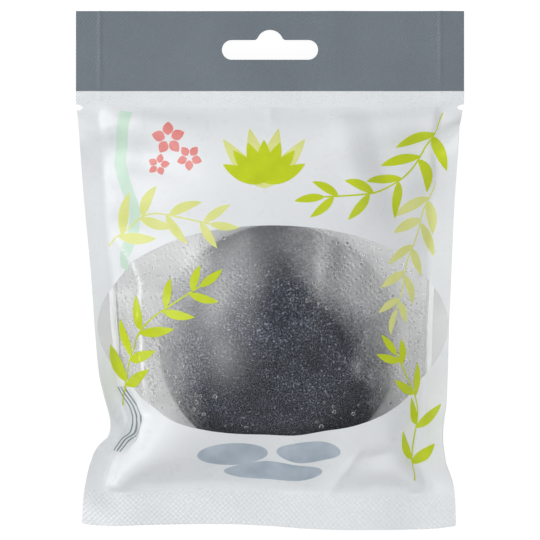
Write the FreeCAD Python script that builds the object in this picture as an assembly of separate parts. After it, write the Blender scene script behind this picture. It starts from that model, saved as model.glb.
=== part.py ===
import FreeCAD, Part
import math
import os

from FreeCAD import Vector

# A round konjac sponge, sealed in its flat hang-sell pouch, which lies on its back on a table.
# X runs across the pouch, Y towards the hang header and Z out of the printed front.
# The origin is on the table, under the middle of the pouch. Lengths are in millimetres.

# Pouch, seen from the front
pouch_width = 130.0
pouch_height = 173.8
waist_width = 117.8  # where the sponge draws the side seals in
foot_width = 126.6  # along the bottom edge
waist_above_foot = 47.0
film = 0.2  # one web of laminate
weld = 0.1  # sealant that is fused between the two webs

# Seals
header_seal_height = 29.0
bottom_seal_height = 12.8
side_seal_width = 8.0
seal_rise = 17.0  # how high the seals stand over the table, about half the filled pouch

# Tear line and its two notches
tear_below_top = 32.6
notch_depth = 2.6
notch_point = 1.2  # the last stretch of the notch tapers to its tip
notch_height = 2.2

# Hang slot, a round-ended band with a crown for a single hook
slot_width = 32.2
slot_height = 6.6
slot_base_below_top = 16.3
crown_width = 9.0
crown_rise = 3.4
crown_fillet = 1.0

# Clear oval in the printed front, which reaches over the side seals
window_height = 70.0
window_below_top = 106.8
window_offset = 1.0
window_edge_strip = 1.6  # narrowest print left between the oval and the cut edge

# Sponge, a half ball with a softened edge
sponge_diameter = 80.0
sponge_height = 36.0
sponge_edge = 5.0
sponge_above_foot = 22.4
sponge_offset = 3.0  # the sponge lies a little right of the middle
seat_gap = 0.3  # between the back web and the sponge
crown_gap = 0.5  # between the sponge and the front web

# Oval of the back web that lies flat on the table
pocket_side_margin = 2.0  # how far it reaches past the sponge at each side
pocket_side_gap = 4.0  # least distance from it to the side seals
pocket_foot_gap = 7.0  # from it to the bottom seal
pocket_header_gap = 21.0  # from it to the header seal

# How full the front web's arch is: along the pouch, from each end seal, and across it
foot_fullness_share = 1.8
header_fullness_share = 2.6
arch_fullness_share = 2.0

# Reach of a curve's handles that makes it a quarter of an oval
quarter_oval_share = 0.5523

# Points of the front web's surface, across and along
points_across = 17
points_along = 27

# Length that every cut runs past what it cuts
overrun = 2.0

# Places that follow from the sizes
half_width = pouch_width / 2
top_y = pouch_height / 2
foot_y = -pouch_height / 2
tear_y = top_y - tear_below_top
header_seal_y = top_y - header_seal_height
bottom_seal_y = foot_y + bottom_seal_height
front_z = seal_rise + weld / 2
back_z = seal_rise - weld / 2 - film
sponge_base_z = film + seat_gap
sponge_y = foot_y + sponge_above_foot + sponge_diameter / 2
crown_z = sponge_base_z + sponge_height + crown_gap
crown_height = crown_z - front_z
pocket_low_y = bottom_seal_y + pocket_foot_gap
pocket_high_y = header_seal_y - pocket_header_gap
pocket_half_height = (pocket_high_y - pocket_low_y) / 2
chamber_waist = waist_width / 2 - side_seal_width
pocket_half_width = min(
    sponge_diameter / 2 + pocket_side_margin,
    chamber_waist - sponge_offset - pocket_side_gap,
)


def circle_through(first, second, third):
    """Centre and radius of the circle through three points in plan."""
    circle = Part.Circle(first, second, third)
    return circle.Center, circle.Radius


side_top = Vector(half_width, tear_y, 0)
side_waist = Vector(waist_width / 2, foot_y + waist_above_foot, 0)
side_foot = Vector(foot_width / 2, foot_y, 0)
side_center, side_radius = circle_through(side_top, side_waist, side_foot)


def pouch_half_width(y):
    """Half the width of the pouch at height y: straight beside the header, drawn in below it."""
    if y >= tear_y:
        return half_width
    reach = math.sqrt(side_radius ** 2 - (y - side_center.y) ** 2)
    if side_center.x > side_waist.x:
        return side_center.x - reach
    return side_center.x + reach


def chamber_half_width(y):
    """Half the width between the inner edges of the side seals."""
    return pouch_half_width(y) - side_seal_width


def eased_rise(share, start_tangent):
    """A curve from 0 to 1 that leaves with start_tangent and arrives level."""
    leave = share ** 3 - 2 * share ** 2 + share
    arrive = 3 * share ** 2 - 2 * share ** 3
    return leave * start_tangent + arrive


def height_along(y):
    """Height of the front web on its crown line, as a share of the crown height."""
    if y <= sponge_y:
        return eased_rise((y - bottom_seal_y) / (sponge_y - bottom_seal_y), foot_fullness_share)
    return eased_rise((header_seal_y - y) / (header_seal_y - sponge_y), header_fullness_share)


def height_across(x, half):
    """Height of the front web across the chamber, as a share of its crown line: two half arches."""
    reach = half - sponge_offset if x >= sponge_offset else half + sponge_offset
    return 1 - (abs(x - sponge_offset) / reach) ** arch_fullness_share


def front_surface():
    """Lower side of the front web inside the seals."""
    rows = []
    for j in range(points_along):
        y = bottom_seal_y + (header_seal_y - bottom_seal_y) * j / (points_along - 1)
        half = chamber_half_width(y)
        row = []
        for i in range(points_across):
            x = half * (2 * i / (points_across - 1) - 1)
            rise = crown_height * height_along(y) * height_across(x, half)
            row.append(Vector(x, y, front_z + rise))
        rows.append(row)
    surface = Part.BSplineSurface()
    surface.interpolate(rows)
    return surface


def chamber_edges(surface, z):
    """The four edges round the chamber, counterclockwise from the lower left corner, at height z."""
    u_first, u_last, v_first, v_last = surface.bounds()
    foot = surface.uIso(u_first)
    header = surface.uIso(u_last)
    left = surface.vIso(v_first)
    right = surface.vIso(v_last)
    header.reverse()
    left.reverse()
    edges = [curve.toShape() for curve in (foot, right, header, left)]
    for edge in edges:
        edge.translate(Vector(0, 0, z - front_z))
    return edges


def pouch_wire(z):
    """Cut edge of the pouch at height z."""
    edges = []
    for side in (1, -1):
        top = Vector(side * side_top.x, top_y, z)
        tear = Vector(side * side_top.x, tear_y, z)
        waist = Vector(side * side_waist.x, side_waist.y, z)
        foot = Vector(side * side_foot.x, foot_y, z)
        edges.append(Part.LineSegment(top, tear).toShape())
        edges.append(Part.Arc(tear, waist, foot).toShape())
    for y, half in ((top_y, side_top.x), (foot_y, side_foot.x)):
        edges.append(Part.LineSegment(Vector(-half, y, z), Vector(half, y, z)).toShape())
    return Part.Wire(Part.__sortEdges__(edges))


def flange_face(surface, z):
    """Flat band of the seals, between the chamber and the cut edge, at height z."""
    hole = Part.Wire(chamber_edges(surface, z))
    return Part.makeFace([pouch_wire(z), hole], "Part::FaceMakerBullseye")


def thicken(faces, thickness):
    """One solid from faces that share edges, grown upwards by a thickness."""
    solids = [face.extrude(Vector(0, 0, thickness)) for face in faces]
    joined = solids[0]
    if len(solids) > 1:
        joined = solids[0].fuse(solids[1:])
    return joined.removeSplitter()


def front_web(surface):
    """The whole front web, from the cut edge over the sponge."""
    return thicken([surface.toShape(), flange_face(surface, front_z)], film)


def oval_point(corner, center):
    """Where the line from the pocket's middle to a corner of the chamber crosses the pocket's oval."""
    along = (corner.y - center.y) / pocket_half_height
    across = (corner.x - center.x) / pocket_half_width
    share = 1 / math.hypot(along, across)
    return center + Vector((corner.x - center.x) * share, (corner.y - center.y) * share, 0)


def back_web(surface):
    """The whole back web: seals, sloping pocket sides and the flat oval that lies on the table."""
    rim_edges = chamber_edges(surface, back_z)
    center = Vector(sponge_offset, pocket_low_y + pocket_half_height, 0)
    along = Vector(0, pocket_half_height, 0)
    across = Vector(pocket_half_width, 0, 0)
    if along.Length >= across.Length:
        oval = Part.Ellipse(center + along, center - across, center)
    else:
        oval = Part.Ellipse(center + across, center + along, center)
    angles = []
    for edge in rim_edges:
        corner = edge.Vertexes[0].Point
        angles.append(oval.parameter(oval_point(corner, center)))
    faces = []
    arcs = []
    for i, rim_edge in enumerate(rim_edges):
        start = angles[i]
        end = angles[(i + 1) % len(angles)]
        if end < start:
            end += 2 * math.pi
        arc = Part.ArcOfEllipse(oval, start, end).toShape()
        arcs.append(arc)
        faces.append(Part.makeRuledSurface(arc, rim_edge))
    faces.append(Part.Face(Part.Wire(arcs)))
    faces.append(flange_face(surface, back_z))
    return thicken(faces, film)


def weld_layer(surface):
    """Sealant between the webs, all the way round the chamber."""
    return thicken([flange_face(surface, seal_rise - weld / 2)], weld)


def zone(y_low, y_high, x_low=-half_width, x_high=half_width):
    """Box that takes in everything between two heights on the pouch, and between two sides."""
    low = Vector(x_low - overrun, y_low, -overrun)
    size = Vector(x_high + overrun, y_high, crown_z + overrun) - low
    return Part.makeBox(size.x, size.y, size.z, low)


def upright_prism(wire, z_low, z_high):
    """Solid with the outline of a wire drawn at height 0, from z_low to z_high."""
    prism = Part.Face(wire).extrude(Vector(0, 0, z_high - z_low))
    prism.translate(Vector(0, 0, z_low))
    return prism


def slot_wire():
    """Outline of the hang slot at height 0."""
    base_y = top_y - slot_base_below_top
    band_y = base_y + slot_height
    middle_y = base_y + slot_height / 2
    end_x = slot_width / 2
    straight_x = end_x - slot_height / 2
    crown_radius = ((crown_width / 2) ** 2 + crown_rise ** 2) / (2 * crown_rise)
    crown_center = Vector(0, band_y + crown_rise - crown_radius, 0)
    fillet_y = band_y + crown_fillet
    reach = crown_radius + crown_fillet
    fillet_x = math.sqrt(reach ** 2 - (fillet_y - crown_center.y) ** 2)
    crown_top = Vector(0, band_y + crown_rise, 0)
    base_line = Part.LineSegment(Vector(-straight_x, base_y, 0), Vector(straight_x, base_y, 0))
    edges = [base_line.toShape()]
    crown_ends = []
    for side in (1, -1):
        low = Vector(side * straight_x, base_y, 0)
        end = Vector(side * end_x, middle_y, 0)
        high = Vector(side * straight_x, band_y, 0)
        fillet_center = Vector(side * fillet_x, fillet_y, 0)
        fillet_start = Vector(side * fillet_x, band_y, 0)
        inward = (crown_center - fillet_center).normalize()
        fillet_end = fillet_center + inward * crown_fillet
        down = (fillet_start - fillet_center).normalize()
        fillet_middle = fillet_center + (inward + down).normalize() * crown_fillet
        edges.append(Part.Arc(low, end, high).toShape())
        edges.append(Part.LineSegment(high, fillet_start).toShape())
        edges.append(Part.Arc(fillet_start, fillet_middle, fillet_end).toShape())
        crown_ends.append(fillet_end)
    edges.append(Part.Arc(crown_ends[0], crown_top, crown_ends[1]).toShape())
    return Part.Wire(Part.__sortEdges__(edges))


def notch_wire(side):
    """Outline of a tear notch at height 0: square at the edge, pointed at its tip."""
    low_y = tear_y - notch_height / 2
    high_y = tear_y + notch_height / 2
    edge_x = side * (half_width + overrun)
    neck_x = side * (half_width - notch_depth + notch_point)
    tip = Vector(side * (half_width - notch_depth), tear_y, 0)
    rim = [Vector(neck_x, low_y, 0), Vector(edge_x, low_y, 0)]
    rim += [Vector(edge_x, high_y, 0), Vector(neck_x, high_y, 0)]
    return Part.makePolygon([tip] + rim + [tip])


def edge_cuts():
    """Hang slot and tear notches, through both webs and the sealant between them."""
    wires = [slot_wire(), notch_wire(1), notch_wire(-1)]
    low = back_z - overrun
    high = front_z + film + overrun
    return [upright_prism(wire, low, high) for wire in wires]


def window_prism():
    """Oval of the clear window, through the front web."""
    center = Vector(window_offset, top_y - window_below_top, 0)
    window_half_width = pouch_half_width(center.y) - window_offset - window_edge_strip
    oval = Part.Ellipse(center, window_half_width, window_height / 2)
    return upright_prism(Part.Wire(oval.toShape()), front_z - overrun, crown_z + film + overrun)


def sponge_solid():
    """Half ball with a flat base and a softened edge, turned about its upright axis."""
    radius = sponge_diameter / 2
    edge_z = sponge_base_z + sponge_edge
    flat_x = radius - sponge_edge
    base = Vector(0, 0, sponge_base_z)
    top = Vector(0, 0, sponge_base_z + sponge_height)
    corner = Vector(flat_x, 0, sponge_base_z)
    side = Vector(radius, 0, edge_z)
    slant = sponge_edge / math.sqrt(2)
    edge_middle = Vector(flat_x + slant, 0, edge_z - slant)
    pull_up = Vector(0, 0, quarter_oval_share * (sponge_height - sponge_edge))
    pull_out = Vector(quarter_oval_share * radius, 0, 0)
    dome = Part.BezierCurve()
    dome.setPoles([side, side + pull_up, top + pull_out, top])
    edges = [
        Part.LineSegment(base, corner).toShape(),
        Part.Arc(corner, edge_middle, side).toShape(),
        dome.toShape(),
        Part.LineSegment(top, base).toShape(),
    ]
    sponge = Part.Face(Part.Wire(edges)).revolve(Vector(0, 0, 0), Vector(0, 0, 1), 360)
    sponge.translate(Vector(sponge_offset, sponge_y, 0))
    return sponge


def build():
    """All pieces by name."""
    surface = front_surface()
    cuts = edge_cuts()
    front = front_web(surface).cut(cuts)
    back = back_web(surface).cut(cuts)
    sealant = weld_layer(surface).cut(cuts)
    header_zone = zone(tear_y, top_y + overrun)
    body_zone = zone(foot_y - overrun, tear_y)
    side_zone_y = (bottom_seal_y, tear_y)
    window = window_prism()
    body_front = front.common(body_zone)
    return {
        "sponge": sponge_solid(),
        "front_panel": body_front.cut(window),
        "front_window": body_front.common(window),
        "back_panel": back.common(body_zone),
        "left_side_seal": sealant.common(zone(*side_zone_y, x_high=-overrun)),
        "right_side_seal": sealant.common(zone(*side_zone_y, x_low=overrun)),
        "bottom_seal": sealant.common(zone(foot_y - overrun, bottom_seal_y)),
        "header_front": front.common(header_zone),
        "header_back": back.common(header_zone),
        "header_seal": sealant.common(header_zone),
    }


os.makedirs("parts", exist_ok=True)
for name, shape in build().items():
    shape.exportStep(os.path.join("parts", name + ".step"))
    print(name, len(shape.Solids), shape.isValid(), round(shape.Volume, 2))
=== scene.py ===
"""Looks of a konjac sponge in its hang pouch."""
import math

import bmesh
import bpy
import numpy as np
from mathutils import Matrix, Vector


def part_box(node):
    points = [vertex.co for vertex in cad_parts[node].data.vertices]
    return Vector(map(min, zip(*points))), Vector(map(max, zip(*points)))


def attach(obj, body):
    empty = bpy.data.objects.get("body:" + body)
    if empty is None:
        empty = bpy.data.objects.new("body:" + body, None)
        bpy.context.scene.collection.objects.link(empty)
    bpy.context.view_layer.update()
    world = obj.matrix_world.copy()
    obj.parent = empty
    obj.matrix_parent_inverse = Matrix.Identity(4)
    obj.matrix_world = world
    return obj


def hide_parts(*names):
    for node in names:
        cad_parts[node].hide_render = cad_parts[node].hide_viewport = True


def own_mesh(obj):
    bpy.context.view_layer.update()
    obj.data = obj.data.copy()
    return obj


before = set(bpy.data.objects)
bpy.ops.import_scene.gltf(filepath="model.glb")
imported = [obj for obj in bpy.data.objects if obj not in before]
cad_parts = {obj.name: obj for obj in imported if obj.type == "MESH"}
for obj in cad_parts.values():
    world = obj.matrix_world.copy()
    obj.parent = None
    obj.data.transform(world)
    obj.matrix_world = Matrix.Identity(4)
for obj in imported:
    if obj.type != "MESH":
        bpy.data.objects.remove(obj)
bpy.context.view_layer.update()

# Sizes in millimetres, from the frame.
MM = 0.001


def box_mm(node):
    """The lowest and highest corners of a node, in millimetres."""
    low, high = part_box(node)
    return np.array(low) / MM, np.array(high) / MM


header_low, header_high = box_mm("header_seal")
foot_low, foot_high = box_mm("bottom_seal")
tear_low, _ = box_mm("header_front")
sponge_low, sponge_high = box_mm("sponge")

WIDTH = header_high[0] - header_low[0]
TOP_Y = header_high[1]
SEAL_Z = 0.5 * (header_low[2] + header_high[2])
HEADER_SEAL = header_high[1] - header_low[1]
FOOT_SEAL = foot_high[1] - foot_low[1]
SPONGE_MIDDLE = 0.5 * (sponge_low + sponge_high)
SPONGE_RADIUS = 0.5 * (sponge_high[0] - sponge_low[0])
SPONGE_EDGE = 5.0
DOME_HEIGHT = sponge_high[2] - sponge_low[2] - SPONGE_EDGE
DOME_MIDDLE = np.array([SPONGE_MIDDLE[0], SPONGE_MIDDLE[1], sponge_low[2] + SPONGE_EDGE])
SIDE_SEAL = 8.0
INNER_SIDE = WIDTH / 2 - SIDE_SEAL
# The chamber's film is longer than the chamber looks, because it goes over the sponge.
CHAMBER_FILM = 137.0
HEIGHT = FOOT_SEAL + CHAMBER_FILM + HEADER_SEAL
TEAR_V = HEIGHT - (TOP_Y - tear_low[1])
HEADER_V = HEIGHT - HEADER_SEAL
GREY_BAND = 26.8
BAND_V = HEIGHT - GREY_BAND

# The photograph's frame and the pixels that the shapes follow.
FRAME_PX = 540
PX_PER_MM = 2.985
MIDDLE_PX = (270.0, 270.5)
LEFT_EDGE_PX = (
    (76, 11), (78, 91), (81, 160), (85, 210), (91, 266), (96.5, 341), (100, 376), (106, 399),
    (111, 414), (112.5, 427), (109, 437), (101, 443.5), (95.5, 450.5), (90, 467), (86, 491), (82.8, 523),
)
RIGHT_EDGE_PX = (
    (463.5, 11), (460.5, 92), (457, 160), (454, 200), (451.6, 255), (448, 333), (447.4, 366),
    (445, 407), (441.6, 424), (440.8, 441), (444, 464), (451, 480), (453.5, 500), (455, 525),
)
FOOT_EDGE_PX = (
    (82.8, 523), (121, 524), (185, 523), (236, 523), (270, 525), (310, 529), (350, 530), (404, 529),
    (455, 525),
)

# Film layers, as heights over the middle of the weld.
FILM_INSIDE = 0.05
FILM_OUTSIDE = 0.17
WELD_HALF = 0.045
INK_LOW = 0.15
INK_LAYER = 0.02
# The least height of the webs over the floor.
FLOOR_GAP = 0.3

# Guards against dividing by nothing.
HAIR = 1e-6
SPECK = 1e-9
SEED = 4


def to_mm(points):
    """Pixels of the photograph as millimetres across and up the part."""
    p = np.array(points, float)
    return np.stack([(p[:, 0] - MIDDLE_PX[0]) / PX_PER_MM, (MIDDLE_PX[1] - p[:, 1]) / PX_PER_MM], -1)


def along(path, shares):
    """Points at shares of a path's length."""
    lengths = np.r_[0, np.cumsum(np.hypot(*np.diff(path, axis=0).T))]
    return np.stack([np.interp(shares * lengths[-1], lengths, path[:, i]) for i in (0, 1)], -1)


# The two webs of film, relaxed over the sponge from flat patterns.


class Web:
    """A web's flat grid, its welded zones and the places of its cut edges."""

    def __init__(self, step):
        self.across = int(round(WIDTH / step)) + 1
        self.up = int(round(HEIGHT / step)) + 1
        u = np.linspace(-WIDTH / 2, WIDTH / 2, self.across)
        v = np.linspace(0, HEIGHT, self.up)
        self.du = u[1] - u[0]
        self.dv = v[1] - v[0]
        self.U, self.V = np.meshgrid(u, v)
        self.flat = np.stack([self.U.ravel(), self.V.ravel()], -1)
        self.header = self.V >= HEADER_V - HAIR
        sides = np.abs(self.U) >= INNER_SIDE - HAIR
        self.weld = sides | (self.V <= FOOT_SEAL + HAIR) | self.header
        from_top = 1 - v / HEIGHT
        self.left = along(to_mm(LEFT_EDGE_PX), from_top).astype(np.float32)
        self.right = along(to_mm(RIGHT_EDGE_PX), from_top).astype(np.float32)
        self.foot = along(to_mm(FOOT_EDGE_PX), u / WIDTH + 0.5).astype(np.float32)

    def start(self):
        """Front and back webs as plain pillows, to relax from."""
        side_power = 2.2
        foot_fullness = 2.3
        header_fullness = 1.5
        over_dome = 0.6
        steep = 2
        front_rise = sponge_high[2] + over_dome - SEAL_Z
        back_fall = SEAL_Z - FLOOR_GAP
        share = self.U / WIDTH + 0.5
        x, y = (self.left[:, None, i] * (1 - share) + self.right[:, None, i] * share for i in (0, 1))
        x = np.where(self.header, self.U, x)
        y = np.where(self.header, self.V - HEIGHT + TOP_Y, y)
        low = FOOT_SEAL - TOP_Y
        high = TOP_Y - HEADER_SEAL
        crown = SPONGE_MIDDLE[1]
        side = np.clip(np.abs(self.U) / INNER_SIDE, 0, 1)
        arch = 1 - side ** side_power
        s = np.where(y <= crown, (y - low) / (crown - low), (high - y) / (high - crown))
        s = np.clip(s, 0, 1)
        fullness = np.where(y <= crown, foot_fullness, header_fullness)
        rise = (s ** 3 - 2 * s ** 2 + s) * fullness + 3 * s ** 2 - 2 * s ** 3
        z_front = SEAL_Z + front_rise * arch * rise
        z_back = SEAL_Z - back_fall * np.clip(arch * steep, 0, 1) * np.clip(rise * steep, 0, 1)
        front = np.stack([x, y, z_front], -1)
        back = np.stack([x, y, z_back], -1)
        front[self.weld, 2] = SEAL_Z
        back[self.weld] = front[self.weld]
        return front.astype(np.float32), back.astype(np.float32)


def pull(P, free, a, b, rest, when_long, when_short):
    """Brings pairs of points towards their rest distance."""
    pa, pb = P[a], P[b]
    d = pb - pa
    length = np.sqrt(np.einsum("...i,...i", d, d)) + HAIR
    e = 1 - rest / length
    e *= np.where(e > 0, when_long, when_short)
    wa, wb = free[a], free[b]
    e /= wa + wb + HAIR
    d *= e[..., None]
    pa += d * wa[..., None]
    pb -= d * wb[..., None]


def pairs(count, gap):
    """Slices that pair places a gap apart, with no place twice in a group."""
    for first in range(2 * gap):
        yield slice(first, count - gap, 2 * gap), slice(first + gap, count, 2 * gap)


def stretch(P, free, web, bend):
    """Keeps the film's lengths, its square corners and its stiffness."""
    up, across = P.shape[:2]
    every = slice(None)
    short = 0.9
    for a, b in pairs(across, 1):
        pull(P, free, (every, a), (every, b), web.du, 1.0, short)
    for a, b in pairs(up, 1):
        pull(P, free, (a, every), (b, every), web.dv, 1.0, short)
    diagonal = float(np.hypot(web.du, web.dv))
    shear = 0.6
    left, right = slice(0, across - 1), slice(1, across)
    for a, b in pairs(up, 1):
        pull(P, free, (a, left), (b, right), diagonal, shear, shear)
        pull(P, free, (a, right), (b, left), diagonal, shear, shear)
    for a, b in pairs(across, 2):
        pull(P, free, (every, a), (every, b), 2 * web.du, 0.0, bend[every, a])
    for a, b in pairs(up, 2):
        pull(P, free, (a, every), (b, every), 2 * web.dv, 0.0, bend[a, every])


def soften(P, share):
    """Evens out small wrinkles by a share at each point."""
    step = np.zeros_like(P)
    step[1:-1] += 0.25 * (P[2:] + P[:-2] - 2 * P[1:-1])
    step[:, 1:-1] += 0.25 * (P[:, 2:] + P[:, :-2] - 2 * P[:, 1:-1])
    P += step * share[..., None]


def over_sponge(P):
    """Pushes the front web out of the sponge's dome."""
    gap = 0.35
    middle = DOME_MIDDLE.astype(np.float32)
    radius = SPONGE_RADIUS + gap
    size = np.array([radius, radius, DOME_HEIGHT + gap], np.float32)
    q = (P - middle) / size
    length = np.sqrt(np.einsum("...i,...i", q, q)) + HAIR
    hit = (length < 1) & (q[..., 2] > 0)
    P[hit] = q[hit] / length[hit][:, None] * size + middle


def under_sponge(P):
    """Pushes the back web out of the sponge's base."""
    gap = 0.15
    r = np.hypot(P[..., 0] - SPONGE_MIDDLE[0], P[..., 1] - SPONGE_MIDDLE[1])
    past = np.clip(r - (SPONGE_RADIUS - SPONGE_EDGE), 0, SPONGE_EDGE)
    low = sponge_low[2] + SPONGE_EDGE - np.sqrt(SPONGE_EDGE ** 2 - past ** 2) - gap
    hit = (r < SPONGE_RADIUS) & (P[..., 2] > low) & (P[..., 2] < SPONGE_MIDDLE[2])
    P[..., 2] = np.where(hit, low, P[..., 2])


def normals(P):
    """Unit normals of a grid of points."""
    n = np.cross(np.gradient(P, axis=1), np.gradient(P, axis=0))
    return n / (np.sqrt(np.einsum("...i,...i", n, n))[..., None] + SPECK)


def relax(web, front, back, steps, puff, sag):
    """Lets the air fill the webs out against the sponge, the welds and the floor."""
    damping = 0.9
    rounds = 3
    edge_hold = 0.3
    foot_hold = 0.05
    side_hold = 0.15
    between = 0.4
    weld_bend = 0.9
    film_bend = 0.8
    weld_soft = 0.6
    film_soft = 0.22
    bend = np.where(web.weld, weld_bend, film_bend).astype(np.float32)
    soft = np.where(web.weld, weld_soft, film_soft).astype(np.float32) * ~web.header
    free = np.where(web.header, 0.0, 1.0).astype(np.float32)
    chamber = ~web.weld
    weld = web.weld & ~web.header
    rows = ~web.header[:, 0]
    lift = np.where(chamber, puff, 0)[..., None]
    was = [front.copy(), back.copy()]
    for _ in range(steps):
        for i, (P, out) in enumerate(((front, 1), (back, -1))):
            move = (P - was[i]) * damping
            was[i] = P.copy()
            move += out * normals(P) * lift
            move[..., 2] -= sag
            P += move * free[..., None]
        for _ in range(rounds):
            for P in (front, back):
                stretch(P, free, web, bend)
                soften(P, soft)
            middle = 0.5 * (front + back)
            front[weld] = middle[weld]
            back[weld] = middle[weld]
            for P in (front, back):
                for column, edge in ((0, web.left), (-1, web.right)):
                    P[rows, column, :2] += edge_hold * (edge[rows] - P[rows, column, :2])
                    P[rows, column, 2] += side_hold * (SEAL_Z - P[rows, column, 2])
                P[0, :, :2] += edge_hold * (web.foot - P[0, :, :2])
                P[0, :, 2] += foot_hold * (SEAL_Z - P[0, :, 2])
            over_sponge(front)
            under_sponge(back)
            crossed = chamber & (front[..., 2] < back[..., 2] + between)
            half = 0.5 * (front[..., 2] + back[..., 2])
            front[..., 2] = np.where(crossed, half + between / 2, front[..., 2])
            back[..., 2] = np.where(crossed, half - between / 2, back[..., 2])
            for P in (front, back):
                np.maximum(P[..., 2], FLOOR_GAP, out=P[..., 2])
    return front, back


def cubic(t):
    """The four weights of a smooth curve through its points."""
    return 0.5 * np.stack([
        -t + 2 * t ** 2 - t ** 3,
        2 - 5 * t ** 2 + 3 * t ** 3,
        t + 4 * t ** 2 - 3 * t ** 3,
        -t ** 2 + t ** 3,
    ], -1)


def sampled(grid, flat):
    """Points of a web's grid at flat places."""
    up, across = grid.shape[:2]
    row = np.clip(flat[:, 1] / HEIGHT, 0, 1) * (up - 1)
    col = np.clip(flat[:, 0] / WIDTH + 0.5, 0, 1) * (across - 1)
    i = np.clip(np.floor(row).astype(int), 0, up - 2)
    j = np.clip(np.floor(col).astype(int), 0, across - 2)
    row_weights = cubic(row - i)
    col_weights = cubic(col - j)
    total = np.zeros((len(flat), grid.shape[2]))
    for a in range(4):
        r = np.clip(i + a - 1, 0, up - 1)
        for b in range(4):
            c = np.clip(j + b - 1, 0, across - 1)
            total += (row_weights[:, a] * col_weights[:, b])[:, None] * grid[r, c]
    return total


def refined(grid, web):
    """A grid's points again, on another web's grid."""
    return sampled(grid, web.flat).reshape(web.up, web.across, 3)


FINE_STEP = 0.5


def film_webs():
    """Front and back webs after relaxation, on a fine grid."""
    levels = ((5.0, 260), (2.5, 120))
    puff_share = 0.006
    sag_share = 0.002
    unevenness = 0.2
    rng = np.random.default_rng(SEED)
    front = None
    for step, steps in levels:
        web = Web(step)
        if front is None:
            front, back = web.start()
            front[..., 2] += rng.normal(0, unevenness, front.shape[:2]) * ~web.weld
        else:
            front = refined(front, web).astype(np.float32)
            back = refined(back, web).astype(np.float32)
        front, back = relax(web, front, back, steps, puff_share * step, sag_share * step)
    fine = Web(FINE_STEP)
    return fine, refined(front, fine), refined(back, fine)


fine_web, front_grid, back_grid = film_webs()


# Creases and soft folds that the photograph shows in the front film.


def path_distance(points, path):
    """How far points lie from a path, and the nearest place's share of its length."""
    lengths = np.hypot(*np.diff(path, axis=0).T)
    starts = np.r_[0, np.cumsum(lengths)]
    nearest = np.full(len(points), np.inf)
    share = np.zeros(len(points))
    for a, b, begin, length in zip(path[:-1], path[1:], starts, lengths):
        d = b - a
        t = np.clip(((points - a) @ d) / (d @ d), 0, 1)
        far = np.hypot(*(points - a - t[:, None] * d).T)
        closer = far < nearest
        nearest = np.where(closer, far, nearest)
        share = np.where(closer, (begin + t * length) / starts[-1], share)
    return nearest, share


# Each fold: its path in pixels, its height and half width in millimetres, and how round its crest is.
FOLDS = (
    (((107, 196), (110, 225), (122, 245), (133, 261), (141, 284), (141, 330), (144, 375), (148, 415)),
     1.7, 2.4, 1.1),
    (((123, 384), (134, 402), (139, 420), (133, 436), (116, 454)), -2.0, 1.1, 1.2),
    (((130, 388), (147, 418), (142, 440), (124, 458)), 1.6, 1.3, 1.2),
    (((116, 392), (127, 420), (112, 446)), 1.0, 1.0, 1.2),
    (((270, 97), (271, 130)), 0.4, 2.2, 1.4),
    (((338, 104), (350, 160), (366, 226)), 0.9, 4.5, 2.0),
    (((368, 106), (384, 170), (404, 240)), -1.1, 4.2, 2.0),
    (((437, 100), (428, 140), (430, 177), (440, 230)), 0.9, 2.6, 1.4),
    (((327, 499), (343, 472), (362, 446)), 1.5, 1.8, 1.2),
    (((345, 456), (372, 458), (410, 450)), -1.6, 3.0, 1.8),
    (((102, 462), (112, 486), (160, 491), (236, 490)), 0.7, 1.6, 1.3),
    (((150, 105), (130, 150), (124, 205)), 0.6, 3.6, 2.0),
    (((300, 236), (318, 262), (322, 300)), 0.5, 2.4, 1.6),
    (((340, 236), (352, 262), (354, 300)), 0.6, 2.4, 1.6),
)


def add_folds(grid):
    """Raises or sinks the film along each fold."""
    fade_power = 0.8
    out = normals(grid)
    plan = grid[..., :2].reshape(-1, 2)
    rise = np.zeros(len(plan))
    for path, height, half_width, crest in FOLDS:
        far, share = path_distance(plan, to_mm(path))
        fade = np.sin(np.pi * share) ** fade_power
        rise += height * fade * np.exp(-(far / half_width) ** crest)
    rise = rise.reshape(grid.shape[:2]) * ~fine_web.header
    return grid + out * rise[..., None], rise


# Bends of the header: places across it, half widths and heights.
HEADER_BENDS = ((22.0, 7.0, 0.5), (58.0, 5.0, 0.4), (-30.0, 16.0, -0.3))


def header_bends():
    """Heights of the header's bends, and of the side seals' lines through it."""
    reach = 14.0
    line_height = 0.3
    line_half = 0.6
    u = fine_web.U
    up = np.clip((fine_web.V - TEAR_V) / reach, 0, 1)
    bends = sum(height * np.exp(-((u - place) / half) ** 2) for place, half, height in HEADER_BENDS)
    lines = line_height * np.exp(-((np.abs(u) - INNER_SIDE) / line_half) ** 2)
    return (bends * up ** 2 * (3 - 2 * up) + lines * up) * fine_web.header


front_grid, fold_rise = add_folds(front_grid)
front_grid[..., 2] += header_bends()
welded_rise = np.where(fine_web.weld, fold_rise, 0)
back_grid = back_grid + normals(back_grid) * welded_rise[..., None]


def raised(grid, flat, height):
    """Points at a height over a web, along its normals."""
    near = 0.3
    aside = np.array([near, 0.0])
    above = np.array([0.0, near])
    du = sampled(grid, flat + aside) - sampled(grid, flat - aside)
    dv = sampled(grid, flat + above) - sampled(grid, flat - above)
    n = np.cross(du, dv)
    n /= np.linalg.norm(n, axis=1)[:, None] + SPECK
    return sampled(grid, flat) + n * np.broadcast_to(height, len(flat))[:, None]


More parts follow.
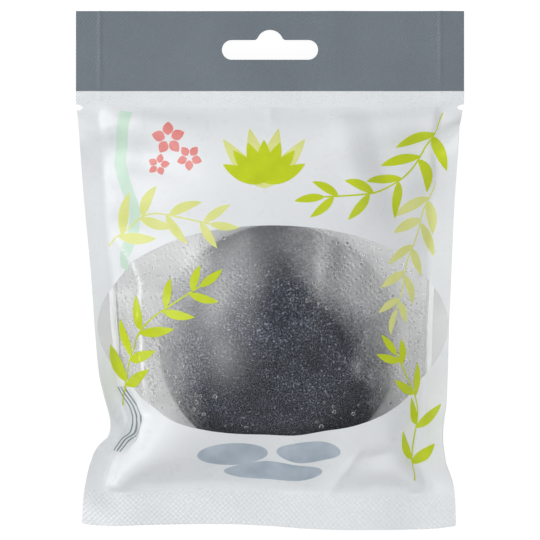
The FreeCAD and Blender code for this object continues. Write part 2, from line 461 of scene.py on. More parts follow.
def flat_at(pixels):
    """Flat places of the front web that show at pixels of the photograph."""
    plan = front_grid[..., :2].reshape(-1, 2)
    height = front_grid[..., 2].ravel()
    found = []
    for p in to_mm(pixels):
        far = np.hypot(*(plan - p).T)
        near = np.flatnonzero(far < far.min() + FINE_STEP)
        found.append(fine_web.flat[near[np.argmax(height[near])]])
    return np.array(found)


# Mesh building.


def cut_cells(us, vs, field):
    """The cells of a flat grid where a field is positive, cut along its border."""
    U, V = np.meshgrid(us, vs)
    flat = np.stack([U.ravel(), V.ravel()], -1)
    value = field(flat)
    inside = value > 0
    count = len(us)
    corner = (np.arange(len(vs) - 1)[:, None] * count + np.arange(count - 1)).ravel()
    cells = np.stack([corner, corner + 1, corner + count + 1, corner + count], -1)
    kept = inside[cells].sum(1)
    faces = [tuple(c) for c in cells[kept == 4].tolist()]
    extra = []
    cuts = {}

    def crossing(p, q):
        key = (min(p, q), max(p, q))
        if key not in cuts:
            t = value[p] / (value[p] - value[q])
            cuts[key] = len(flat) + len(extra)
            extra.append(flat[p] + (flat[q] - flat[p]) * t)
        return cuts[key]

    for cell in cells[(kept > 0) & (kept < 4)].tolist():
        face = []
        for p, q in zip(cell, cell[1:] + cell[:1]):
            if inside[p]:
                face.append(p)
            if inside[p] != inside[q]:
                face.append(crossing(p, q))
        if len(face) > 2:
            faces.append(tuple(face))
    points = np.vstack([flat, np.array(extra)]) if extra else flat
    return trimmed(points, faces)


def trimmed(points, faces):
    """Points and faces without the points that no face uses."""
    used = np.unique(np.fromiter((i for f in faces for i in f), int))
    place = np.full(len(points), -1)
    place[used] = np.arange(len(used))
    return points[used], [tuple(int(place[i]) for i in f) for f in faces]


def rim_of(faces):
    """The edges that only one face has, in that face's direction."""
    seen = {}
    for face in faces:
        for a, b in zip(face, face[1:] + face[:1]):
            key = (min(a, b), max(a, b))
            seen[key] = None if key in seen else (a, b)
    return [edge for edge in seen.values() if edge]


def joined(parts):
    """Several lots of points and faces as one."""
    points = []
    faces = []
    start = 0
    for p, f in parts:
        points.append(p)
        faces.extend(tuple(i + start for i in face) for face in f)
        start += len(p)
    return np.vstack(points), faces


def added(name, data):
    """A new object in the scene."""
    thing = bpy.data.objects.new(name, data)
    bpy.context.scene.collection.objects.link(thing)
    return thing


pouch_pieces = []


def new_piece(name, points, faces, looks, body, sharp=50.0):
    """A mesh piece in metres that rides on a body."""
    mesh = bpy.data.meshes.new(name)
    mesh.from_pydata((points * MM).tolist(), [], faces)
    mesh.shade_smooth()
    mesh.set_sharp_from_angle(angle=math.radians(sharp))
    for look in looks:
        mesh.materials.append(look)
    piece = added(name, mesh)
    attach(piece, body)
    if body == "pouch":
        pouch_pieces.append(piece)
    return piece


def skin(name, grid, flat, faces, low, high, looks, body, node=None):
    """A closed skin of film between two heights over a web."""
    count = len(flat)
    points = np.vstack([raised(grid, flat, high), raised(grid, flat, low)])
    back = [tuple(i + count for i in reversed(f)) for f in faces]
    rim = [(b, a, a + count, b + count) for a, b in rim_of(faces)]
    piece = new_piece(name, points, faces + back + rim, looks, body)
    mesh = piece.data
    corner = np.empty(len(mesh.loops), np.int32)
    mesh.loops.foreach_get("vertex_index", corner)
    uv = (flat / HEIGHT + np.array([0.5, 0.0]))[corner % count]
    layer = mesh.uv_layers.new(name="web")
    layer.data.foreach_set("uv", uv.astype(np.float32).ravel())
    if node:
        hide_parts(node)
    return piece


def steps_between(low, high, step):
    """Evenly spaced places between two limits."""
    return np.linspace(low, high, int(math.ceil((high - low) / step)) + 1)


# Borders in the flat web.


def notches(flat):
    """Positive outside the two tear notches."""
    depth = 2.6
    point = 1.2
    half_height = 1.1
    from_edge = WIDTH / 2 - np.abs(flat[:, 0])
    aside = np.abs(flat[:, 1] - TEAR_V)
    past_point = from_edge - (depth - point) - point * (1 - aside / half_height)
    return np.maximum(aside - half_height, past_point)


def hang_slot(flat):
    """Positive outside the hang slot: a round-ended band with a crown over its middle."""
    width = 32.2
    height = 6.6
    base = 16.3
    crown_width = 9.0
    crown_rise = 3.4
    fillet = 1.0
    middle = HEIGHT - base + height / 2
    u = flat[:, 0]
    v = flat[:, 1] - middle
    band = np.hypot(np.maximum(np.abs(u) - (width - height) / 2, 0), v) - height / 2
    crown = np.hypot(u, v - (height + crown_rise * 2 - crown_width) / 2) - crown_width / 2
    mix = np.clip(0.5 + 0.5 * (crown - band) / fillet, 0, 1)
    return crown * (1 - mix) + band * mix - fillet * mix * (1 - mix)


# The window's oval: its middle and half sizes.
window_middle = np.array([0.4, 70.99])
window_half = np.array([64.2, 35.444])


def window_field(flat):
    """Positive inside the window, about in millimetres."""
    q = (flat - window_middle) / window_half
    r = np.hypot(*q.T)
    return (1 - r) * window_half[1]


# Materials.


def srgb(*eight_bit):
    """A linear colour from the eight-bit colour that it shows as."""
    shares = [c / 255 for c in eight_bit]
    linear = [s / 12.92 if s <= 0.04045 else ((s + 0.055) / 1.055) ** 2.4 for s in shares]
    return (*linear, 1.0)


class Look:
    """A material, with short ways to add its nodes."""

    def __init__(self, name, roughness=0.5):
        self.material = bpy.data.materials.new(name)
        self.material.use_nodes = True
        self.tree = self.material.node_tree
        self.shader = self.tree.nodes["Principled BSDF"]
        self.set("Roughness", roughness)

    def set(self, socket, value):
        self.shader.inputs[socket].default_value = value

    def drive(self, socket, source):
        self.tree.links.new(source, self.shader.inputs[socket])

    def node(self, kind, inputs=None, **settings):
        """A node with its settings, and with its inputs set or linked."""
        node = self.tree.nodes.new(kind)
        for key, value in settings.items():
            setattr(node, key, value)
        for socket, value in (inputs or {}).items():
            if isinstance(value, bpy.types.NodeSocket):
                self.tree.links.new(value, node.inputs[socket])
            else:
                node.inputs[socket].default_value = value
        return node

    def place(self):
        return self.node("ShaderNodeTexCoord").outputs["Object"]

    def noise(self, where, scale, detail=3.0, rough=0.5):
        inputs = {"Vector": where, "Scale": scale, "Detail": detail, "Roughness": rough}
        return self.node("ShaderNodeTexNoise", inputs).outputs["Fac"]

    def combine(self, operation, *terms):
        return self.node("ShaderNodeMath", dict(enumerate(terms)), operation=operation).outputs[0]

    def spread(self, source, low, high, to_low, to_high):
        inputs = {"Value": source, "From Min": low, "From Max": high, "To Min": to_low, "To Max": to_high}
        return self.node("ShaderNodeMapRange", inputs).outputs["Result"]

    def ramp(self, source, stops):
        node = self.node("ShaderNodeValToRGB", {"Fac": source})
        while len(node.color_ramp.elements) < len(stops):
            node.color_ramp.elements.new(0.5)
        for element, (position, colour) in zip(node.color_ramp.elements, stops):
            element.position = position
            element.color = colour
        return node.outputs["Color"]

    def shades(self, tone, pale, deep):
        self.drive("Base Color", self.ramp(tone, ((0.3, srgb(*deep)), (0.7, srgb(*pale)))))

    def bump(self, source, strength, distance):
        inputs = {"Height": source, "Strength": strength, "Distance": distance}
        self.drive("Normal", self.node("ShaderNodeBump", inputs).outputs["Normal"])

    def pass_lamps(self, share):
        """Lets a share of the lamps' light through the surface."""
        clear = self.node("ShaderNodeBsdfTransparent", {"Color": (share, share, share, 1.0)})
        mix = self.node("ShaderNodeMixShader", {
            "Fac": self.node("ShaderNodeLightPath").outputs["Is Shadow Ray"],
            1: self.shader.outputs["BSDF"],
            2: clear.outputs["BSDF"],
        })
        output = self.tree.nodes["Material Output"]
        self.tree.links.new(mix.outputs["Shader"], output.inputs["Surface"])


def printed_film(name, pale, deep, roughness):
    """Satin printed film: two close shades, uneven gloss and a slight ripple."""
    look = Look(name, roughness)
    where = look.place()
    look.shades(look.noise(where, scale=38.0, detail=4.0), pale, deep)
    gloss = look.noise(where, scale=220.0, detail=2.0)
    look.drive("Roughness", look.spread(gloss, 0.3, 0.7, roughness - 0.06, roughness + 0.08))
    look.bump(look.noise(where, scale=420.0), strength=0.12, distance=0.0004)
    look.set("Specular IOR Level", 0.36)
    look.pass_lamps(0.9)
    return look.material


def ink(name, pale, deep):
    """Ink on film, a little uneven: the print, and the pleat's painted shade."""
    look = Look(name, 0.4)
    look.shades(look.noise(look.place(), scale=160.0), pale, deep)
    look.pass_lamps(0.9)
    return look.material


def clear_look(name, roughness, ior, lamp_share):
    """Clear film or water."""
    look = Look(name, roughness)
    look.set("Base Color", (1.0, 1.0, 1.0, 1.0))
    look.set("Transmission Weight", 1.0)
    look.set("IOR", ior)
    look.pass_lamps(lamp_share)
    return look.material


def fog_and_sheen_look():
    """The window's inside: fine condensation that veils and blurs what stands off it; parts of its veil
    are painted sheen.
    """
    look = Look("fog_and_sheen_window_film")
    fog = look.node("ShaderNodeAttribute", attribute_name="fog").outputs["Fac"]
    veil = look.node("ShaderNodeAttribute", attribute_name="veil").outputs["Fac"]
    look.set("Base Color", srgb(248, 248, 248))
    look.drive("Roughness", look.spread(fog, 0.0, 1.0, 0.04, 0.28))
    # The veil: condensation, with painted sheen in parts.
    look.drive("Transmission Weight", look.spread(veil, 0.0, 1.0, 1.0, 0.0))
    look.set("IOR", 1.15)
    look.pass_lamps(0.98)
    return look.material


def sponge_look():
    """Charcoal konjac fibre: dark pores and paler fibre, with painted shade that deepens towards the
    foot.
    """
    shades = ((0.55, (14, 15, 19)), (0.85, (30, 33, 40)), (1.08, (72, 77, 88)), (1.26, (156, 163, 176)))
    low = 0.4
    high = 1.4
    shade_full_y = -0.056
    shade_free_y = -0.018
    shade_depth = -0.06
    look = Look("charcoal_fibre", 0.85)
    where = look.place()
    fine = look.noise(where, scale=2900.0, detail=4.0, rough=0.65)
    pores = look.node("ShaderNodeTexVoronoi", {"Vector": where, "Scale": 1900.0}).outputs["Distance"]
    grain = look.combine("MULTIPLY_ADD", pores, 0.55, fine)
    total = look.combine("MULTIPLY_ADD", look.noise(where, scale=60.0), 0.35, grain)
    up = look.node("ShaderNodeSeparateXYZ", {"Vector": where}).outputs["Y"]
    # Painted shade, deepest towards the pouch's foot.
    total = look.combine("ADD", total, look.spread(up, shade_full_y, shade_free_y, shade_depth, 0.0))
    stops = [((at - low) / (high - low), srgb(*shade)) for at, shade in shades]
    look.drive("Base Color", look.ramp(look.spread(total, low, high, 0.0, 1.0), stops))
    look.bump(grain, strength=0.5, distance=0.0004)
    look.set("Specular IOR Level", 0.3)
    return look.material


white_film = printed_film("white_printed_film", (234, 237, 239), (228, 231, 234), 0.3)
grey_film = printed_film("grey_printed_film", (118, 127, 135), (111, 120, 128), 0.36)
back_film = printed_film("white_back_film", (241, 243, 243), (235, 238, 239), 0.36)
sealant = printed_film("fused_sealant", (216, 217, 217), (209, 210, 210), 0.5)
clear_film = clear_look("clear_window_film", roughness=0.2, ior=1.22, lamp_share=0.98)
fog_and_sheen_film = fog_and_sheen_look()
lime = ink("lime_ink", (200, 216, 12), (188, 205, 8))
pale_lime = ink("pale_lime_ink", (226, 230, 150), (217, 222, 132))
pale_green = ink("pale_green_ink", (208, 231, 215), (198, 224, 206))
rose = ink("rose_ink", (232, 150, 146), (222, 126, 120))
wash = ink("grey_blue_ink", (184, 196, 208), (160, 174, 188))
# Painted shade for the pleat's lines.
pleat_shade_grey = ink("pleat_shade_grey", (152, 160, 162), (126, 136, 138))
water = clear_look("water_drops", roughness=0.02, ior=1.33, lamp_share=1.0)
charcoal = sponge_look()


# Film pieces.
FILM_STEP = 0.6
WINDOW_STEP = 0.3
SEAL_STEP = 0.25
FOOT_PITCH = 1.3
HEADER_PITCH = 0.9
FOOT_DEPTH = 0.27
HEADER_DEPTH = 0.32
EMBOSS_LIFT = 0.07
EMBOSS_FADE = 2.0
FRONT = 1
BACK = -1


def outside_window(flat):
    """Positive on the pouch's printed front, with its tear notches cut."""
    return np.minimum(notches(flat), -window_field(flat))


def in_window(flat):
    """Positive inside the window, a hair short of the printed film's edge."""
    gap = 0.03
    return window_field(flat) - gap


def header_field(flat):
    """Positive on the header, with its notches and hang slot cut."""
    return np.minimum(notches(flat), hang_slot(flat))


def emboss(flat, inside, pitch, depth):
    """A cross-hatch pressed into a seal, faded out at the seal's inner edge."""
    turn = 2 * math.pi / (pitch * math.sqrt(2))
    one = np.cos((flat[:, 0] + flat[:, 1]) * turn)
    other = np.cos((flat[:, 0] - flat[:, 1]) * turn)
    fade = np.clip(inside / EMBOSS_FADE, 0, 1)
    return (depth * 0.25 * (one + other) + EMBOSS_LIFT) * fade


def web_faces(side, pressed):
    """A web's low and high faces, with a pattern pressed into the outer one."""
    outer = FILM_OUTSIDE + pressed
    return (FILM_INSIDE, outer) if side == FRONT else (-outer, -FILM_INSIDE)


def set_looks(piece, numbers):
    """Gives a skin's faces their looks by number, and its rim the first look."""
    polygons = piece.data.polygons
    every = np.zeros(len(polygons), np.int32)
    every[:len(numbers)] = numbers
    polygons.foreach_set("material_index", every)


across_film = steps_between(-WIDTH / 2, WIDTH / 2, FILM_STEP)
across_seal = steps_between(-WIDTH / 2, WIDTH / 2, SEAL_STEP)
chamber_rows = steps_between(FOOT_SEAL, TEAR_V, FILM_STEP)
foot_rows = steps_between(0, FOOT_SEAL, SEAL_STEP)
strip_rows = steps_between(TEAR_V, BAND_V, SEAL_STEP)
header_rows = np.r_[strip_rows[:-1], steps_between(BAND_V, HEIGHT, SEAL_STEP)]


def pouch_web(name, grid, side, field, look, node):
    """One web of the pouch, from its foot to the tear line."""
    chamber = cut_cells(across_film, chamber_rows, field)
    foot = cut_cells(across_seal, foot_rows, field)
    flat, faces = joined([chamber, foot])
    low, high = web_faces(side, emboss(flat, FOOT_SEAL - flat[:, 1], FOOT_PITCH, FOOT_DEPTH))
    skin(name, grid, flat, faces, low, high, [look], "pouch", node)


def header_web(name, side, node):
    """One web of the header, grey over a white strip."""
    flat, faces = cut_cells(across_seal, header_rows, header_field)
    low, high = web_faces(side, emboss(flat, flat[:, 1] - HEADER_V, HEADER_PITCH, HEADER_DEPTH))
    looks = [grey_film, white_film]
    piece = skin(name, front_grid, flat, faces, low, high, looks, "tear_off_header", node)
    strip = np.array([flat[list(f), 1].mean() < BAND_V for f in faces])
    set_looks(piece, np.r_[strip, strip])


def weld_layer(name, columns, rows, body, node):
    """A fused layer between the two webs."""
    flat, faces = cut_cells(columns, rows, header_field)
    skin(name, front_grid, flat, faces, -WELD_HALF, WELD_HALF, [sealant], body, node)


pouch_web("front_film", front_grid, FRONT, outside_window, white_film, "front_panel")
pouch_web("back_film", back_grid, BACK, notches, back_film, "back_panel")
window_columns = steps_between(-WIDTH / 2, WIDTH / 2, WINDOW_STEP)
window_rows = steps_between(FOOT_SEAL, TEAR_V, WINDOW_STEP)
window_flat, window_faces = cut_cells(window_columns, window_rows, in_window)
window_piece = skin(
    "window_film", front_grid, window_flat, window_faces, FILM_INSIDE, FILM_OUTSIDE,
    [clear_film, fog_and_sheen_film], "pouch", "front_window")
set_looks(window_piece, np.repeat((0, 1), len(window_faces)))
header_web("header_front_film", FRONT, "header_front")
header_web("header_back_film", BACK, "header_back")
left_columns = steps_between(-WIDTH / 2, -INNER_SIDE, FILM_STEP)
weld_layer("left_weld", left_columns, chamber_rows, "pouch", "left_side_seal")
weld_layer("right_weld", -left_columns[::-1], chamber_rows, "pouch", "right_side_seal")
weld_layer("foot_weld", across_film, steps_between(0, FOOT_SEAL, FILM_STEP), "pouch", "bottom_seal")
high_rows = steps_between(HEADER_V, HEIGHT, FILM_STEP)
weld_layer("header_weld", across_film, high_rows, "tear_off_header", "header_seal")


# Damp on the inside of the window.


def sponge_distance(points):
    """About how far points stand off the sponge's dome."""
    q = points - DOME_MIDDLE
    r = np.linalg.norm(q / np.array([SPONGE_RADIUS, SPONGE_RADIUS, DOME_HEIGHT]), axis=1)
    return np.linalg.norm(q, axis=1) * (1 - 1 / np.maximum(r, HAIR))


def waves(points, size, seed):
    """Smooth uneven values about zero over the plane."""
    count = 14
    shortest = 0.6
    longest = 1.8
    rng = np.random.default_rng(seed)
    total = np.zeros(len(points))
    for _ in range(count):
        angle = rng.uniform(0, 2 * math.pi)
        length = size * rng.uniform(shortest, longest)
        phase = rng.uniform(0, 2 * math.pi)
        across = points[:, 0] * math.cos(angle) + points[:, 1] * math.sin(angle)
        total += np.sin(across * 2 * math.pi / length + phase)
    return total / math.sqrt(count)


# Where the film clings wet to the sponge: rows in pixels, and the clear patch's left and right ends.
CLING_PX = (
    (226, 228, 306), (250, 222, 306), (262, 216, 307), (280, 208, 314), (300, 202, 330), (320, 194, 356),
    (340, 186, 368), (360, 181, 373), (374, 179, 377), (386, 179, 383), (400, 178, 389), (420, 180, 393),
    (440, 184, 390),
)
# Thicker patches of damp, some of them painted sheen over the sponge: middle and half sizes in pixels,
# and how much more they veil.
DAMP_AND_SHEEN_PX = (
    ((244, 244), (13, 16), 0.1), ((233, 266), (15, 18), 0.14), ((223, 290), (16, 20), 0.22),
    ((215, 312), (15, 18), 0.14), ((220, 338), (16, 22), 0.09), ((226, 358), (22, 24), 0.1),
    ((246, 308), (14, 28), 0.08), ((252, 274), (15, 22), 0.12), ((284, 250), (34, 24), 0.06),
    ((196, 264), (15, 22), 0.2), ((320, 268), (6, 24), 0.16), ((336, 256), (6, 22), -0.1),
    ((356, 262), (7, 24), 0.14), ((378, 284), (12, 20), 0.14), ((274, 234), (36, 18), 0.06),
    ((355, 366), (6, 8), 0.1), ((404, 340), (13, 46), 0.28),
)
DAMP_VEIL = 0.29
# The damp lies unevenly, as fine beads.
DAMP_GRAIN = 0.34
BEAD_SIZE = 0.9
# A painted highlight whitens the first fold's crest.
CREASE_SHEEN = 0.5
CREASE_HALF = 0.6


def to_px(points):
    """Pixels of the photograph at points of the part."""
    return points[:, 0] * PX_PER_MM + MIDDLE_PX[0], MIDDLE_PX[1] - points[:, 1] * PX_PER_MM


def cling(points):
    """From 0 to 1, how closely the film clings to the sponge at points."""
    left_soft = 56.0
    right_soft = 46.0
    wander = 2.5
    long_wave = 7.0
    short_wave = 2.2
    dapple = 0.24
    px, py = to_px(points)
    rows, lefts, rights = np.array(CLING_PX, float).T
    uneven = wander * waves(points, long_wave, SEED + 1) + wander * waves(points, short_wave, SEED + 2)
    from_left = (px - np.interp(py, rows, lefts) + uneven) / left_soft
    from_right = (np.interp(py, rows, rights) - px + uneven) / right_soft
    share = np.clip(from_left + 0.5, 0, 1) * np.clip(from_right + 0.5, 0, 1)
    return np.clip(share + dapple * waves(points, BEAD_SIZE, SEED + 3) * np.sin(np.pi * share), 0, 1)


def damp_and_sheen(points):
    """The share of the view that condensation on the film veils at points, with painted sheen over the
    sponge and a painted highlight on the first fold's crest.
    """
    px, py = to_px(points)
    total = DAMP_VEIL * (1 - cling(points))
    # Patches of damp, some of them painted sheen.
    for (x, y), (wide, high), more in DAMP_AND_SHEEN_PX:
        total += more * np.exp(-((px - x) / wide) ** 2 - ((py - y) / high) ** 2)
    total *= 1 + DAMP_GRAIN * waves(points, BEAD_SIZE, SEED + 3) * np.clip(total / DAMP_VEIL, 0, 1)
    # A painted highlight along the first fold's crest.
    far, share = path_distance(points[:, :2], to_mm(FOLDS[0][0]))
    total += CREASE_SHEEN * np.sin(np.pi * share) * np.exp(-(far / CREASE_HALF) ** 2)
    return np.clip(total, 0, 1)


DROP_CLUSTER_PX = (324, 286)
DROP_FLATNESS = 0.5


def drop_places():
    """Flat places and radii of drops, most where the film stands off the sponge."""
    tries = 3000
    least_radius = 0.16
    more_radius = 0.6
    smallness = 2.8
    cluster_spread = np.array([3.6, 5.5])
    cluster_every = 10
    from_border = 1.5
    least_room = 0.45
    apart = 1.1
    dry_share = 0.15
    rng = np.random.default_rng(SEED + 21)
    reach = rng.uniform(-1, 1, (tries, 2)) * window_half + window_middle
    radius = least_radius + more_radius * rng.random(tries) ** smallness
    cluster = rng.normal(0, 1, (tries, 2)) * cluster_spread + flat_at([DROP_CLUSTER_PX])
    in_cluster = np.arange(tries) % cluster_every == 0
    reach = np.where(in_cluster[:, None], cluster, reach)
    base = raised(front_grid, reach, FILM_INSIDE)
    room = sponge_distance(base) - radius * DROP_FLATNESS
    inside = window_field(reach) > from_border
    damp_enough = rng.random(tries) < dry_share + (1 - dry_share) * (1 - cling(base))
    kept = []
    for i in np.flatnonzero(inside & (room > least_room) & damp_enough):
        far = np.hypot(*(reach[kept] - reach[i]).T)
        if np.all(far > (radius[kept] + radius[i]) * apart):
            kept.append(int(i))
    return reach[kept], radius[kept]


drops_at, drop_radii = drop_places()


def set_fog(piece, flat):
    """Gives the window its blur and veil: none in the welds, less behind drops."""
    fade = 1.0
    behind_drop = 0.62
    mesh = piece.data
    points = np.empty(len(mesh.vertices) * 3, np.float32)
    mesh.vertices.foreach_get("co", points)
    points = points.reshape(-1, 3) / MM
    share = np.clip((INNER_SIDE - np.abs(flat[:, 0])) / fade, 0, 1)
    for place, radius in zip(drops_at, drop_radii):
        share[np.hypot(*(flat - place).T) < radius] *= behind_drop
    share = np.r_[share, share]
    for name, values in (("fog", 1 - cling(points)), ("veil", damp_and_sheen(points))):
        layer = mesh.attributes.new(name, "FLOAT", "POINT")
        layer.data.foreach_set("value", (values * share).astype(np.float32))


set_fog(window_piece, window_flat)


# A plain printed design in the pack's colours.


def grid_faces(px, py):
    """Points and faces of a small grid in the flat web, facing up."""
    rows, columns = px.shape
    flat = np.stack([px.ravel(), py.ravel()], -1)
    faces = []
    for r in range(rows - 1):
        for c in range(columns - 1):
            a = r * columns + c
            faces.append((a + 1, a + columns + 1, a + columns, a))
    return flat, faces


def blade(start, angle, length, width, curl, rows=14):
    """A rounded leaf in the flat web, from its stem to its tip."""
    columns = 4
    lean = 0.85
    roundness = 0.8
    least = 0.04
    t = np.linspace(0, 1, rows + 1)
    heading = angle + curl * t
    step = length / rows
    x = start[0] + np.r_[0, np.cumsum(np.cos(heading[:-1]) * step)]
    y = start[1] + np.r_[0, np.cumsum(np.sin(heading[:-1]) * step)]
    half = 0.5 * width * np.maximum(np.sin(np.pi * t ** lean) ** roundness, least)
    side = np.linspace(-1, 1, columns + 1)
    px = x[:, None] - np.outer(np.sin(heading) * half, side)
    py = y[:, None] + np.outer(np.cos(heading) * half, side)
    return grid_faces(px, py)


def smoothed(points, count, rounds):
    """Points along a path, with its corners evened out."""
    path = along(np.array(points, float), np.linspace(0, 1, count))
    for _ in range(rounds):
        path[1:-1] = 0.25 * (path[2:] + path[:-2] + 2 * path[1:-1])
    return path


def stroke(points, width):
    """A band of even width along a path in the flat web."""
    step = 0.6
    path = smoothed(points, count=60, rounds=6)
    d = np.gradient(path, axis=0)
    d /= np.linalg.norm(d, axis=1)[:, None]
    side = np.stack([-d[:, 1], d[:, 0]], -1) * width / 2
    place = np.linspace(-1, 1, max(2, int(width / step) + 1))
    px = path[:, :1] + side[:, :1] * place
    py = path[:, 1:] + side[:, 1:] * place
    return grid_faces(px, py)


def sprig(path, leaf_count, leaf_length, leaf_width, seed):
    """An arching stem with pairs of rounded leaves and one at its tip."""
    count = 40
    stem_width = 0.55
    first_leaf = 5
    leaf_span = 31
    taper = 0.35
    tip_share = 0.7
    tip_curl = 0.2
    rng = np.random.default_rng(seed)
    stem = smoothed(path, count, rounds=30)
    parts = [stroke(stem, stem_width)]
    d = np.gradient(stem, axis=0)
    heading = np.arctan2(d[:, 1], d[:, 0])
    for i in range(leaf_count):
        at = int(first_leaf + i * leaf_span / (leaf_count - 1))
        size = 1 - taper * i / leaf_count
        for side in (-1, 1):
            turn = side * math.radians(rng.uniform(42, 58))
            length = leaf_length * size * rng.uniform(0.85, 1.1)
            curl = -side * rng.uniform(0.2, 0.5)
            start = stem[min(at + (side > 0), count - 1)]
            parts.append(blade(start, heading[at] + turn, length, leaf_width * size, curl))
    parts.append(blade(stem[-1], heading[-1], leaf_length * tip_share, leaf_width * tip_share, tip_curl))
    return joined(parts)


def blossom(middle, radius, turn):
    """Five round petals."""
    petals = 5
    inset = 0.25 * radius
    width = 0.78 * radius
    parts = []
    for i in range(petals):
        angle = turn + i * 2 * math.pi / petals
        start = (middle[0] + inset * math.cos(angle), middle[1] + inset * math.sin(angle))
        parts.append(blade(start, angle, radius, width, 0.0, rows=8))
    return joined(parts)


def fan(foot, count, length, width, spread):
    """Leaves that spread upwards from one place."""
    curl = 0.25
    angles = np.linspace(0.5 * (math.pi + spread), 0.5 * (math.pi - spread), count)
    return joined([blade(foot, angle, length, width, curl * math.cos(angle)) for angle in angles])


def pebble(middle, half_width, half_height):
    """A smooth oval."""
    rows = 48
    columns = 12
    blunt = 0.02
    turn = np.linspace(blunt, math.pi - blunt, rows + 1)
    side = np.linspace(-1, 1, columns + 1)
    px = middle[0] + half_width * np.outer(np.cos(turn), np.ones(columns + 1))
    py = middle[1] - half_height * np.outer(np.sin(turn), side)
    return grid_faces(px, py)


def print_on(name, parts, look, layer):
    """Ink on the front film, over earlier layers: the print, and the pleat's painted shade."""
    flat, faces = joined(parts)
    high = FILM_OUTSIDE + INK_LAYER * layer
    skin(name, front_grid, flat, faces, INK_LOW, high, [look], "pouch")


print_on("print_pebbles", [
    pebble((-13, 28.0), 12.0, 4.6),
    pebble((13, 29.0), 11.0, 4.2),
    pebble((1, 20.5), 17.0, 4.0),
], wash, layer=1)
print_on("print_lime_sprigs", [
    sprig(((-58, 44), (-54, 58), (-44, 74), (-24, 86)), 5, 14.0, 4.0, SEED + 11),
    sprig(((58, 148), (52, 128), (38, 117), (18, 116)), 5, 14.5, 4.0, SEED + 12),
    sprig(((50, 18), (56, 42), (44, 62)), 4, 13.0, 3.8, SEED + 13),
    fan((-2, 121), 7, 15.0, 5.0, 2.5),
], lime, layer=4)
print_on("print_pale_sprigs", [
    sprig(((-58, 100), (-42, 112), (-20, 107)), 4, 14.0, 4.0, SEED + 14),
    sprig(((58, 122), (50, 100), (44, 78)), 5, 13.0, 3.8, SEED + 15),
    fan((-2, 119), 4, 22.0, 5.6, 1.5),
], pale_lime, layer=3)
print_on("print_ribbon", [
    stroke(((-48, 148), (-52, 130), (-46, 112), (-52, 92)), 4.2),
], pale_green, layer=2)
print_on("print_blossoms", [
    blossom((-34, 137), 4.6, 0.3),
    blossom((-27, 130), 3.6, 0.9),
    blossom((-38, 128), 3.2, 0.1),
], rose, layer=4)
# The pleat beside the left seal: its shade painted as dark lines, this far aside of a path.
PLEAT_PX = (
    (123, 388), (127, 396), (134, 407), (138, 416), (139, 424), (135, 434), (127, 442), (119, 451),
)
PLEAT_ASIDE = (-1.7, -0.6, 0.4)
PLEAT_WIDTH = 0.4
pleat_flat = flat_at(PLEAT_PX)
print_on("pleat_shade_lines", [
    stroke(pleat_flat + np.array([aside, 0.0]), PLEAT_WIDTH) for aside in PLEAT_ASIDE
], pleat_shade_grey, layer=5)


def drops_piece():
    """Flattened drops that hang from the inside of the window."""
    rings = 4
    sides = 12
    sunk = 0.01
    count = len(drops_at)
    deep = drop_radii * DROP_FLATNESS
    lean = 0.5 * math.pi * np.arange(rings) / rings
    turn = np.arange(sides) * 2 * math.pi / sides
    circle = np.stack([np.cos(turn), np.sin(turn)], -1)
    rims = np.outer(drop_radii, np.cos(lean))
    flat = drops_at[:, None, None] + rims[..., None, None] * circle
    depth = np.broadcast_to(np.outer(deep, np.sin(lean))[..., None], flat.shape[:3])
    ring_points = raised(front_grid, flat.reshape(-1, 2), FILM_INSIDE - sunk - depth.ravel())
    tips = raised(front_grid, drops_at, FILM_INSIDE - sunk - deep)
    per_drop = rings * sides
    faces = []
    for drop in range(count):
        start = drop * per_drop
        tip = count * per_drop + drop
        last = start + per_drop - sides
        for k in range(sides):
            after = (k + 1) % sides
            for a in range(start, last, sides):
                faces.append((a + after, a + k, a + k + sides, a + after + sides))
            faces.append((last + after, last + k, tip))
        faces.append(tuple(range(start, start + sides)))
    points = np.vstack([ring_points, tips])
    new_piece("condensation", points, faces, [water], "pouch")


drops_piece()


# The sponge, with pores: their depths, distances apart and seeds.
PORES = ((0.24, 1.3, 1), (0.2, 0.75, 2))
# Large odd numbers that scatter the pores.
CELL_MIXERS = np.array([73856093, 19349663, 83492791])
SEED_MIXER = 2654435761
SPOT_MIXERS = (2246822519, 3266489917, 668265263)
SPOT_SHIFT = 7
SPOT_STEPS = 1024


def cell_pits(points, size, seed):
    """From 0 to 1, deepest at scattered pores about a size apart."""
    q = points / size
    base = np.floor(q).astype(np.int64)
    nearest = np.full(len(points), np.inf)
    for offset in np.ndindex(3, 3, 3):
        cell = base + np.array(offset) - 1
        key = np.bitwise_xor.reduce(cell * CELL_MIXERS, axis=1) ^ seed * SEED_MIXER
        spots = [((key * mixer) >> SPOT_SHIFT) % SPOT_STEPS / SPOT_STEPS for mixer in SPOT_MIXERS]
        nearest = np.minimum(nearest, np.linalg.norm(cell + np.stack(spots, -1) - q, axis=1))
    return np.clip(1 - nearest, 0, 1)


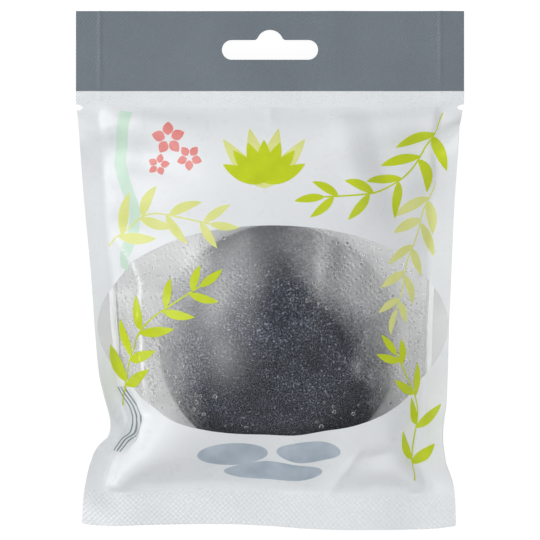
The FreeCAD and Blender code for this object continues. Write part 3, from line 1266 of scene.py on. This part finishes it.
def sponge_piece():
    """A half ball with a rounded lower edge and a flat base, all pores."""
    level = 8
    edge_share = 0.16
    whole_turn = 180.0
    ball = bmesh.new()
    bmesh.ops.create_icosphere(ball, subdivisions=level, radius=1.0)
    ball.verts.ensure_lookup_table()
    unit = np.array([v.co for v in ball.verts])
    faces = [tuple(v.index for v in f.verts) for f in ball.faces]
    ball.free()
    lean = np.arctan2(unit[:, 2], np.hypot(unit[:, 0], unit[:, 1]))
    turn = np.arctan2(unit[:, 1], unit[:, 0])
    circle = np.stack([np.cos(turn), np.sin(turn)], -1)
    share = np.clip(-lean / (math.pi / 2), 0, 1)
    in_base = share >= edge_share
    around = np.clip(share / edge_share, 0, 1) * math.pi / 2
    inward = np.clip((share - edge_share) / (1 - edge_share), 0, 1)
    base_radius = SPONGE_RADIUS - SPONGE_EDGE
    low_r = np.where(in_base, base_radius * (1 - inward), base_radius + SPONGE_EDGE * np.cos(around))
    low_z = -SPONGE_EDGE * np.sin(around)
    r = np.where(lean >= 0, SPONGE_RADIUS * np.cos(lean), low_r)
    z = np.where(lean >= 0, DOME_HEIGHT * np.sin(np.clip(lean, 0, None)), low_z)
    points = np.c_[r[:, None] * circle, z]
    out = np.c_[(r / SPONGE_RADIUS ** 2)[:, None] * circle, z / DOME_HEIGHT ** 2]
    out = np.where(in_base[:, None], np.array([0.0, 0.0, -1.0]), out)
    out /= np.linalg.norm(out, axis=1)[:, None] + SPECK
    depth = sum(deep * cell_pits(points, size, seed) ** 2 for deep, size, seed in PORES)
    points = points - out * depth[:, None] + DOME_MIDDLE
    piece = new_piece("sponge_body", points, faces, [charcoal], "sponge", whole_turn)
    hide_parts("sponge")


sponge_piece()

# Each pouch piece gets a mesh of its own, so that the emptied pouch can flatten as the sponge is drawn
# out.
for piece in pouch_pieces:
    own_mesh(piece)


# Studio. Each lamp: its place and size in metres, and its power.
WORLD_LEVEL = 0.28
FLOOR_GLOW = 0.86
LAMPS = (
    ("key", (-0.8, 0.4, 0.42), 1.1, 8.8),
    ("fill", (0.7, 0.45, 0.55), 1.5, 2.6),
    ("overhead", (0.3, -0.7, 1.1), 2.2, 11.0),
)


def floor_look():
    """Pale floor that shows white behind the part and keeps its shadow."""
    look = Look("pale_floor", 0.9)
    look.set("Base Color", (0.25, 0.25, 0.25, 1.0))
    look.set("Specular IOR Level", 0.0)
    rays = look.node("ShaderNodeLightPath").outputs
    shown = look.combine("MAXIMUM", rays["Is Camera Ray"], rays["Is Glossy Ray"])
    shown = look.combine("MAXIMUM", shown, rays["Is Transmission Ray"])
    look.set("Emission Color", (1.0, 1.0, 1.0, 1.0))
    look.drive("Emission Strength", look.spread(shown, 0.0, 1.0, 0.0, FLOOR_GLOW))
    return look.material


def add_floor():
    """A wide floor under the part."""
    reach = 4000.0
    mesh = bpy.data.meshes.new("floor")
    corners = [(-reach, -reach, 0), (reach, -reach, 0), (reach, reach, 0), (-reach, reach, 0)]
    mesh.from_pydata((np.array(corners) * MM).tolist(), [], [(0, 1, 2, 3)])
    mesh.materials.append(floor_look())
    added("floor", mesh)


def add_lamp(name, place, size, power):
    """A square soft box that faces the part."""
    data = bpy.data.lights.new(name, "AREA")
    data.shape = "SQUARE"
    data.size = size
    data.energy = power
    lamp = added(name, data)
    lamp.location = place
    aim = np.array((0.0, 0.0, SEAL_Z * MM)) - np.array(place)
    lamp.rotation_euler = Vector(aim).to_track_quat("-Z", "Y").to_euler()


def add_world():
    """Even soft light from all round, seen as white."""
    world = bpy.data.worlds.new("studio")
    bpy.context.scene.world = world
    world.use_nodes = True
    tree = world.node_tree
    ground = tree.nodes["Background"]
    ground.inputs["Color"].default_value = (1.0, 1.0, 1.0, 1.0)
    rays = tree.nodes.new("ShaderNodeLightPath")
    level = tree.nodes.new("ShaderNodeMapRange")
    level.inputs["To Min"].default_value = WORLD_LEVEL
    level.inputs["To Max"].default_value = 1.0
    tree.links.new(rays.outputs["Is Camera Ray"], level.inputs["Value"])
    tree.links.new(level.outputs["Result"], ground.inputs["Strength"])


def add_camera():
    """Straight down on the pouch, framed as the photograph is."""
    sensor = 36.0
    distance = 900.0
    data = bpy.data.cameras.new("camera")
    data.sensor_fit = "HORIZONTAL"
    data.sensor_width = sensor
    data.lens = sensor * distance * PX_PER_MM / FRAME_PX
    data.clip_start = 0.01
    data.clip_end = 50.0
    camera = added("camera", data)
    lift = (MIDDLE_PX[1] - FRAME_PX / 2) / PX_PER_MM
    camera.location = (0.0, lift * MM, (SEAL_Z + distance) * MM)
    bpy.context.scene.camera = camera


add_floor()
add_world()
for lamp in LAMPS:
    add_lamp(*lamp)
add_camera()
bpy.context.scene.view_settings.view_transform = "Standard"
